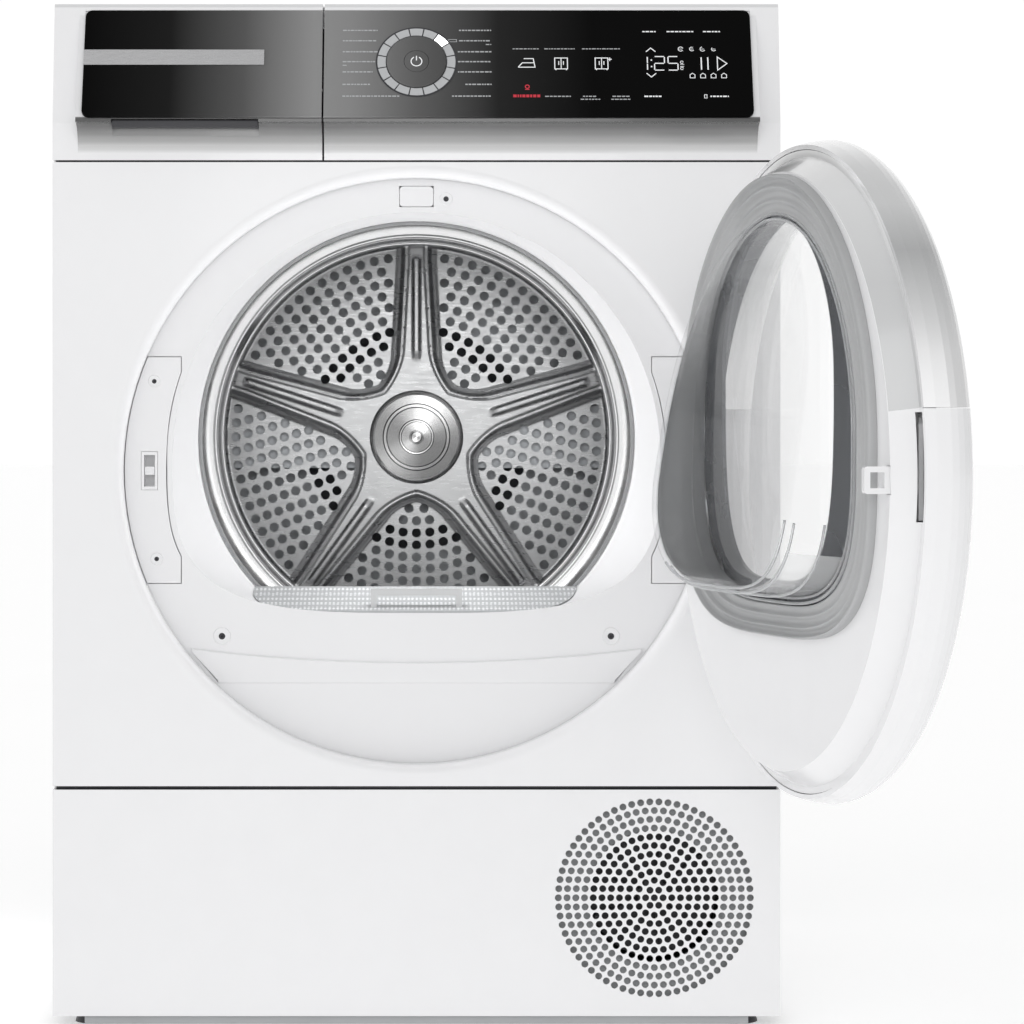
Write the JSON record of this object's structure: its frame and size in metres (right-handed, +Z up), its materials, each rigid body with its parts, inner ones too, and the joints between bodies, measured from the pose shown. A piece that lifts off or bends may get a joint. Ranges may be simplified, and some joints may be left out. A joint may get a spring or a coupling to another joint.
{
  "type": "clothes dryer",
  "caption": "Free-standing heat-pump clothes dryer with a round glass door on the right, condensate drawer and touch control panel.",
  "frame": {"origin": "floor level under the middle of the cabinet", "axes": "+X to the right seen from the front, +Y to the back, +Z up; the front faces -Y"},
  "size_m": [0.6847, 1.1099, 0.842],
  "materials": {
    "white_enamel": "smooth gloss paint",
    "white_plastic": "fine satin moulding",
    "white_gloss_plastic": "glossy moulding",
    "silver_plastic": "pearl silver gloss",
    "grey_plastic": "satin",
    "dark_plastic": "satin black",
    "fascia_black": "deep gloss overlay",
    "light_segment": "translucent light guide",
    "brushed_trim": "brushed",
    "drum_steel": "polished stainless",
    "hub_steel": "turned",
    "zinc_sheet": "galvanised",
    "dark_steel": "black paint",
    "gasket_rubber": "soft satin",
    "belt_rubber": "ribbed",
    "felt": "felt",
    "clear_glass": "clear",
    "window_frame_grey": "metallic grey",
    "filter_plastic": "dotted mesh",
    "board_green": "circuit board",
    "fin_aluminium": "thin fins"
  },
  "bodies": {
    "cabinet": {"front_panel": "white_enamel", "side_panel_left": "white_enamel", "side_panel_right": "white_enamel", "top_cover": "white_enamel", "rear_panel": "zinc_sheet", "rear_duct_cover": "zinc_sheet", "base_pan": "grey_plastic", "kick_panel": "white_gloss_plastic", "feet": "dark_plastic", "front_shield": "white_plastic", "loading_funnel": "white_plastic", "latch_plate": "white_plastic", "hinge_plate": "white_plastic", "shield_screws": "drum_steel", "lamp_cover": "white_plastic", "front_bulkhead": "white_plastic", "drum_front_felt": "felt", "filter_housing": "grey_plastic", "drive_brackets": "zinc_sheet", "drive_motor": "dark_steel", "drive_belt": "belt_rubber", "compressor": "dark_steel", "heat_exchangers": "fin_aluminium", "cooling_fan_motor": "dark_steel", "control_board": "board_green", "mains_inlet_gland": "dark_plastic", "drain_spigot": "grey_plastic", "control_panel": "white_gloss_plastic", "fascia_glass": "fascia_black", "light_ring": "light_segment", "door_hinge_bracket": "zinc_sheet"},
    "door": {"door_ring_upper": "silver_plastic", "door_ring_lower": "white_gloss_plastic", "door_inner_frame": "white_gloss_plastic", "door_gasket": "gasket_rubber", "door_window_frame": "window_frame_grey", "door_window_pane": "clear_glass", "door_glass_bowl": "clear_glass", "door_hook": "white_gloss_plastic", "door_hinge_leaf": "zinc_sheet"},
    "latch_tongue": {"latch_catch": "white_plastic"},
    "lint_filter": {"lint_filter_cover": "filter_plastic", "lint_filter_pocket": "filter_plastic"},
    "water_drawer": {"drawer_front": "white_gloss_plastic", "drawer_fascia_glass": "fascia_black", "drawer_trim_strip": "brushed_trim", "water_tank": "filter_plastic"},
    "selector": {"selector_knob": "fascia_black"},
    "power_key": {"power_button": "fascia_black"},
    "drum": {"drum_shell": "drum_steel", "drum_rear_wall": "drum_steel", "drum_hub": "hub_steel", "drum_lifters": "grey_plastic"},
    "roller_left": {"support_roller_left": "dark_plastic"},
    "roller_right": {"support_roller_right": "dark_plastic"},
    "motor_rotor": {"motor_pulley": "hub_steel", "process_fan": "dark_plastic"},
    "tensioner": {"belt_tensioner_arm": "zinc_sheet"},
    "tensioner_wheel": {"belt_tensioner_pulley": "dark_plastic"},
    "cooling_wheel": {"cooling_fan": "dark_plastic"}
  },
  "joints": [
    {"name": "door_hinge", "type": "hinge", "parent": "cabinet", "child": "door", "pos_m": [0.24, -0.315, 0.459], "axis": [0, 0, 1], "range_deg": [-105, 13]},
    {"name": "latch_tongue_slide", "type": "slide", "parent": "cabinet", "child": "latch_tongue", "axis": [0, 1, 0], "range_m": [0, 0.002], "stiffness_N_per_m": 400, "springref_m": -0.001},
    {"name": "lint_filter_slide", "type": "slide", "parent": "cabinet", "child": "lint_filter", "axis": [0, 0, 1], "range_m": [0, 0.145]},
    {"name": "water_drawer_slide", "type": "slide", "parent": "cabinet", "child": "water_drawer", "axis": [0, -1, 0], "range_m": [0, 0.33]},
    {"name": "selector_turn", "type": "hinge", "parent": "cabinet", "child": "selector", "pos_m": [0, -0.29932, 0.7915], "axis": [0, -0.8988, 0.4384], "continuous": true},
    {"name": "power_press", "type": "slide", "parent": "cabinet", "child": "power_key", "axis": [0, 0.8988, -0.4384], "range_m": [0, 0.0012], "stiffness_N_per_m": 600, "springref_m": -0.0005},
    {"name": "drum_turn", "type": "hinge", "parent": "cabinet", "child": "drum", "pos_m": [0, 0.2, 0.482], "axis": [0, 1, 0], "continuous": true},
    {"name": "roller_left_turn", "type": "hinge", "parent": "cabinet", "child": "roller_left", "pos_m": [-0.17408, -0.183, 0.22392], "axis": [0, 1, 0], "continuous": true},
    {"name": "roller_right_turn", "type": "hinge", "parent": "cabinet", "child": "roller_right", "pos_m": [0.17408, -0.183, 0.22392], "axis": [0, 1, 0], "continuous": true},
    {"name": "motor_turn", "type": "hinge", "parent": "cabinet", "child": "motor_rotor", "pos_m": [0.205, 0.06, 0.128], "axis": [0, 1, 0], "continuous": true},
    {"name": "tensioner_swing", "type": "hinge", "parent": "cabinet", "child": "tensioner", "pos_m": [0.09405, 0.075, 0.066], "axis": [0, -1, 0], "range_deg": [0, 6], "stiffness_Nm_per_rad": 3, "springref_deg": -5.73},
    {"name": "tensioner_wheel_turn", "type": "hinge", "parent": "tensioner", "child": "tensioner_wheel", "pos_m": [0.09405, 0.06, 0.12753], "axis": [0, 1, 0], "continuous": true},
    {"name": "cooling_fan_turn", "type": "hinge", "parent": "cabinet", "child": "cooling_wheel", "pos_m": [0.1954, -0.28, 0.1055], "axis": [0, 1, 0], "continuous": true}
  ],
  "couplings": [
    {"joint": "roller_left_turn", "follows": "drum_turn", "ratio": -10.961},
    {"joint": "roller_right_turn", "follows": "drum_turn", "ratio": -10.961},
    {"joint": "motor_turn", "follows": "drum_turn", "ratio": 27.538},
    {"joint": "tensioner_wheel_turn", "follows": "drum_turn", "ratio": -13.064}
  ]
}
